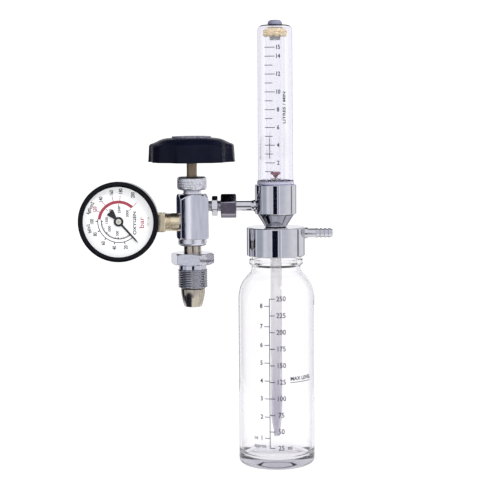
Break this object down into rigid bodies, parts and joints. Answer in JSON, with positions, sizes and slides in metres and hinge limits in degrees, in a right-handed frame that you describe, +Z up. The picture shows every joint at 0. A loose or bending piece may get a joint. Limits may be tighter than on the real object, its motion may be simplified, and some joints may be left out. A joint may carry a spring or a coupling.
{
  "type": "oxygen valve with flowmeter and humidifier",
  "caption": "Medical oxygen fine-adjustment valve with bull-nose inlet, pressure gauge, handwheel, flowmeter tube and humidifier bottle.",
  "frame": {"origin": "on the inlet axis, where the bull nose meets the lower end of the inlet nut's male thread", "axes": "+Z up along the inlet and spindle axis, -Y the front that the gauge faces, +X from the valve towards the flowmeter"},
  "size_m": [0.1969, 0.0682, 0.3462],
  "materials": {
    "chrome": "polished",
    "dark_chrome": "polished",
    "knurled_chrome": "satin",
    "brass": "satin",
    "nose_brass": "satin",
    "bronze_filter": "rough",
    "black_plastic": "glossy",
    "black_steel": "satin",
    "dial_white": "matte",
    "pointer_black": "matte",
    "spring_bronze": "satin",
    "black_rubber": "matte",
    "red_fibre": "matte",
    "white_seal": "matte",
    "clear_window": "glossy",
    "clear_tube": "glossy",
    "clear_bottle": "glossy",
    "frosted_tube": "satin",
    "float_red": "satin",
    "amber_plug": "satin",
    "grey_button": "satin"
  },
  "bodies": {
    "valve": {"inlet_nipple": "nose_brass", "inlet_filter": "bronze_filter", "stem_collar": "chrome", "valve_body": "chrome", "valve_seat": "white_seal", "bonnet": "chrome", "packing_washer": "brass", "gland_packing": "white_seal", "gland_nut": "knurled_chrome", "gauge_washer": "red_fibre", "gauge_socket": "brass", "gauge_case": "black_steel", "gauge_bezel": "black_steel", "gauge_window": "clear_window", "window_gasket": "black_rubber", "gauge_dial": "dial_white", "dial_screws": "brass", "hairspring": "spring_bronze", "bourdon_tube": "spring_bronze", "movement_front_plate": "brass", "movement_back_plate": "brass", "movement_pillars": "brass", "movement_screws": "brass", "blowout_plug": "black_rubber", "outlet_adaptor": "chrome", "outlet_locknut": "dark_chrome"},
    "inlet_nut": {"inlet_nut": "chrome"},
    "seat_plug": {"seat_plug": "brass", "plug_seal": "black_rubber"},
    "spindle": {"spindle": "brass", "handwheel": "black_plastic", "wheel_insert": "brass", "wheel_washer": "chrome", "wheel_nut": "chrome"},
    "pointer": {"gauge_pointer": "pointer_black", "pointer_pinion": "brass"},
    "sector": {"sector_gear": "brass"},
    "bourdon_tip": {"bourdon_tip": "brass", "gauge_link": "brass"},
    "flowmeter": {"union_washer": "black_rubber", "tail_pipe": "chrome", "flow_body": "chrome", "tube_seal": "black_rubber", "metering_tube": "clear_tube", "float_stops": "white_seal", "tube_cover": "clear_tube", "cover_seals": "black_rubber", "top_plug": "amber_plug", "top_button": "grey_button", "cap_seal": "black_rubber", "bottle_cap": "chrome", "cap_locknut": "dark_chrome", "hose_barb": "chrome", "dip_tube": "frosted_tube"},
    "union_nut": {"union_nut": "dark_chrome"},
    "float": {"float": "float_red"},
    "bottle_gasket": {"bottle_gasket": "white_seal"},
    "bottle": {"bottle": "clear_bottle"}
  },
  "joints": [
    {"name": "inlet_nut_turn", "type": "hinge", "parent": "valve", "child": "inlet_nut", "pos_m": [0, 0, 0], "axis": [0, 0, 1], "continuous": true},
    {"name": "plug_lift", "type": "slide", "parent": "valve", "child": "seat_plug", "axis": [0, 0, 1], "range_m": [0, 0.0025]},
    {"name": "handwheel_turn", "type": "hinge", "parent": "seat_plug", "child": "spindle", "pos_m": [0, 0, 0.065], "axis": [0, 0, 1], "range_deg": [0, 720]},
    {"name": "pointer_turn", "type": "hinge", "parent": "valve", "child": "pointer", "pos_m": [-0.0565, 0, 0.0531], "axis": [0, 1, 0], "range_deg": [0, 270]},
    {"name": "sector_turn", "type": "hinge", "parent": "valve", "child": "sector", "pos_m": [-0.0465, 0, 0.0531], "axis": [0, -1, 0], "range_deg": [0, 30]},
    {"name": "tip_travel", "type": "slide", "parent": "valve", "child": "bourdon_tip", "axis": [-1, 0, 0], "range_m": [0, 0.00311]},
    {"name": "flowmeter_swivel", "type": "hinge", "parent": "valve", "child": "flowmeter", "pos_m": [0.0275, 0, 0.064], "axis": [1, 0, 0], "range_deg": [-90, 90]},
    {"name": "union_nut_turn", "type": "hinge", "parent": "flowmeter", "child": "union_nut", "pos_m": [0.0285, 0, 0.064], "axis": [1, 0, 0], "continuous": true},
    {"name": "float_rise", "type": "slide", "parent": "flowmeter", "child": "float", "axis": [0, 0, 1], "range_m": [0, 0.1]},
    {"name": "bottle_lower", "type": "slide", "parent": "flowmeter", "child": "bottle_gasket", "axis": [0, 0, -1], "range_m": [0, 0.155]},
    {"name": "bottle_turn", "type": "hinge", "parent": "bottle_gasket", "child": "bottle", "pos_m": [0.0651, 0, 0.03], "axis": [0, 0, 1], "continuous": true}
  ],
  "couplings": [
    {"joint": "handwheel_turn", "follows": "plug_lift", "rad_per_m": 5026.5},
    {"joint": "pointer_turn", "follows": "tip_travel", "rad_per_m": 1517.4},
    {"joint": "sector_turn", "follows": "tip_travel", "rad_per_m": 168.6}
  ]
}
